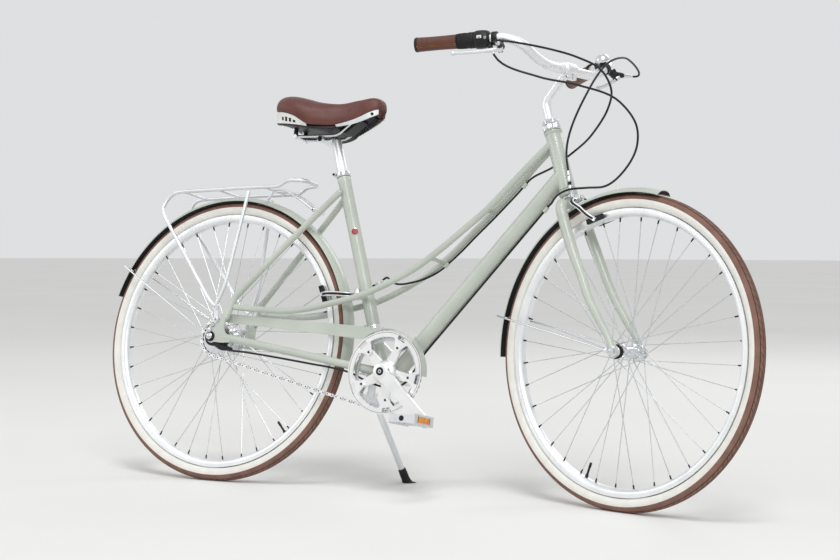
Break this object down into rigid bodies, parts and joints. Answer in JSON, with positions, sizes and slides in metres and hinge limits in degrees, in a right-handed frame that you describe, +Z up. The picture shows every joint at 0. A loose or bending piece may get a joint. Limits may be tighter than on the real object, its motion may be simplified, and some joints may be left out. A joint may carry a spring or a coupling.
{
  "type": "step through bike",
  "caption": "Step-through city bicycle with twin curved top tubes, mudguards, rear rack, chain guard and kickstand, parked with the front wheel turned.",
  "frame": {"origin": "under the middle of the bounding box, on the ground that both tyres and the kickstand foot stand on", "axes": "+X forward along the bicycle, +Y to the rider's left, +Z up"},
  "size_m": [1.7524, 0.6512, 1.0601],
  "materials": {
    "frame_paint": "gloss sage green enamel",
    "alloy": "brushed silver",
    "steel": "polished silver",
    "tyre": "matt brown black tread with cream sides",
    "rubber": "matt black",
    "leather": "smooth brown with yellow stitching",
    "plastic": "satin black"
  },
  "bodies": {
    "frame": {"head_tube": "frame_paint", "down_tube": "frame_paint", "seat_tube": "frame_paint", "bottom_bracket_shell": "frame_paint", "twin_tube_right": "frame_paint", "twin_tube_left": "frame_paint", "seat_stay_right": "frame_paint", "seat_stay_left": "frame_paint", "chain_stay_right": "frame_paint", "chain_stay_left": "frame_paint", "headset_upper_cup": "frame_paint", "seat_collar": "steel", "rear_fender": "frame_paint", "rear_fender_stay": "steel", "rack_deck": "alloy", "rack_leg_right": "alloy", "rack_leg_left": "alloy", "chain_guard": "frame_paint", "chain": "steel", "kickstand_bracket": "steel", "rear_brake_cable": "plastic", "shift_cable": "plastic"},
    "steering": {"fork": "frame_paint", "stem": "alloy", "handlebar": "steel", "grip_left": "leather", "grip_right": "leather", "lever_bracket_right": "plastic", "lever_bracket_left": "plastic", "shifter_housing": "plastic", "front_fender": "frame_paint", "front_fender_stay": "steel", "front_brake_cable": "plastic", "bell": "alloy"},
    "front_wheel": {"front_tyre": "tyre", "front_rim": "alloy", "front_hub": "steel"},
    "rear_wheel": {"rear_tyre": "tyre", "rear_rim": "alloy", "rear_hub": "steel"},
    "rear_cog": {"rear_cog": "steel"},
    "cranks": {"crank_right": "alloy", "chainring": "alloy", "crank_left": "alloy"},
    "pedal_right": {"pedal_right": "alloy"},
    "pedal_left": {"pedal_left": "alloy"},
    "kickstand": {"kickstand_leg": "alloy", "kickstand_foot": "rubber"},
    "seat": {"seat_post": "alloy", "saddle_rails": "steel", "saddle_base": "plastic", "saddle_cover": "leather"},
    "lever_right": {"lever_right": "alloy"},
    "lever_left": {"lever_left": "alloy"},
    "twist_grip": {"twist_grip": "rubber"},
    "bell_striker": {"bell_striker": "plastic"},
    "front_brake_arm_right": {"front_brake_arm_right": "alloy"},
    "front_brake_arm_left": {"front_brake_arm_left": "alloy"},
    "rear_brake_arm_right": {"rear_brake_arm_right": "alloy"},
    "rear_brake_arm_left": {"rear_brake_arm_left": "alloy"}
  },
  "joints": [
    {"name": "steering", "type": "hinge", "parent": "frame", "child": "steering", "pos_m": [0.31603, -0.01634, 0.83111], "axis": [-0.3273, 0.1766, 0.9283], "range_deg": [-38, 72], "deforming": ["rear_brake_cable", "shift_cable"]},
    {"name": "front_wheel_spin", "type": "hinge", "parent": "steering", "child": "front_wheel", "pos_m": [0.54094, -0.12419, 0.34539], "axis": [0.2759, 0.9574, -0.0848], "continuous": true},
    {"name": "rear_wheel_spin", "type": "hinge", "parent": "frame", "child": "rear_wheel", "pos_m": [-0.52892, -0.10951, 0.34132], "axis": [0, 0.9824, -0.1869], "continuous": true},
    {"name": "rear_cog_turn", "type": "hinge", "parent": "frame", "child": "rear_cog", "pos_m": [-0.52892, -0.10951, 0.34132], "axis": [0, 0.9824, -0.1869], "range_deg": [-110, 470]},
    {"name": "crank_turn", "type": "hinge", "parent": "frame", "child": "cranks", "pos_m": [-0.04179, -0.12242, 0.27344], "axis": [0, 0.9824, -0.1869], "range_deg": [-55, 235]},
    {"name": "pedal_right_spin", "type": "hinge", "parent": "cranks", "child": "pedal_right", "pos_m": [0.08554, -0.27805, 0.1884], "axis": [0, 0.9824, -0.1869], "continuous": true},
    {"name": "pedal_left_spin", "type": "hinge", "parent": "cranks", "child": "pedal_left", "pos_m": [-0.16913, 0.03321, 0.35849], "axis": [0, 0.9824, -0.1869], "continuous": true},
    {"name": "kickstand_fold", "type": "hinge", "parent": "frame", "child": "kickstand", "pos_m": [-0.1247, -0.08702, 0.21871], "axis": [-0.2739, 0.9606, 0.047], "range_deg": [0, 110]},
    {"name": "seat_height", "type": "slide", "parent": "frame", "child": "seat", "axis": [-0.3207, 0.177, 0.9305], "range_m": [-0.06, 0.03]},
    {"name": "lever_right_pull", "type": "hinge", "parent": "steering", "child": "lever_right", "pos_m": [0.27104, -0.20727, 1.01296], "axis": [-0.0816, 0.6166, -0.783], "range_deg": [0, 12], "stiffness_Nm_per_rad": 0.6},
    {"name": "lever_left_pull", "type": "hinge", "parent": "steering", "child": "lever_left", "pos_m": [0.38729, 0.19607, 0.97723], "axis": [0.4317, 0.5979, 0.6754], "range_deg": [0, 12], "stiffness_Nm_per_rad": 0.6},
    {"name": "twist_grip_turn", "type": "hinge", "parent": "steering", "child": "twist_grip", "pos_m": [0.16037, -0.1944, 1.03641], "axis": [0.9754, 0.2147, 0.0503], "range_deg": [-35, 35]},
    {"name": "bell_striker_flick", "type": "hinge", "parent": "steering", "child": "bell_striker", "pos_m": [0.38203, 0.10528, 1.00206], "axis": [-0.0809, -0.405, 0.9107], "range_deg": [0, 30], "stiffness_Nm_per_rad": 0.02},
    {"name": "front_brake_arm_right_close", "type": "hinge", "parent": "steering", "child": "front_brake_arm_right", "pos_m": [0.38633, -0.04999, 0.68001], "axis": [0.8688, -0.2107, 0.4481], "range_deg": [0, 1.5]},
    {"name": "front_brake_arm_left_close", "type": "hinge", "parent": "steering", "child": "front_brake_arm_left", "pos_m": [0.38633, -0.04999, 0.68001], "axis": [-0.8688, 0.2107, -0.4481], "range_deg": [0, 1.5]},
    {"name": "rear_brake_arm_right_close", "type": "hinge", "parent": "frame", "child": "rear_brake_arm_right", "pos_m": [-0.16078, -0.08838, 0.45239], "axis": [0.2936, -0.1786, -0.9391], "range_deg": [0, 1.5]},
    {"name": "rear_brake_arm_left_close", "type": "hinge", "parent": "frame", "child": "rear_brake_arm_left", "pos_m": [-0.16078, -0.08838, 0.45239], "axis": [-0.2936, 0.1786, 0.9391], "range_deg": [0, 1.5]}
  ],
  "couplings": [
    {"joint": "rear_cog_turn", "follows": "crank_turn", "ratio": 2},
    {"joint": "front_brake_arm_right_close", "follows": "lever_left_pull", "ratio": 0.125},
    {"joint": "front_brake_arm_left_close", "follows": "lever_left_pull", "ratio": 0.125},
    {"joint": "rear_brake_arm_right_close", "follows": "lever_right_pull", "ratio": 0.125},
    {"joint": "rear_brake_arm_left_close", "follows": "lever_right_pull", "ratio": 0.125}
  ]
}
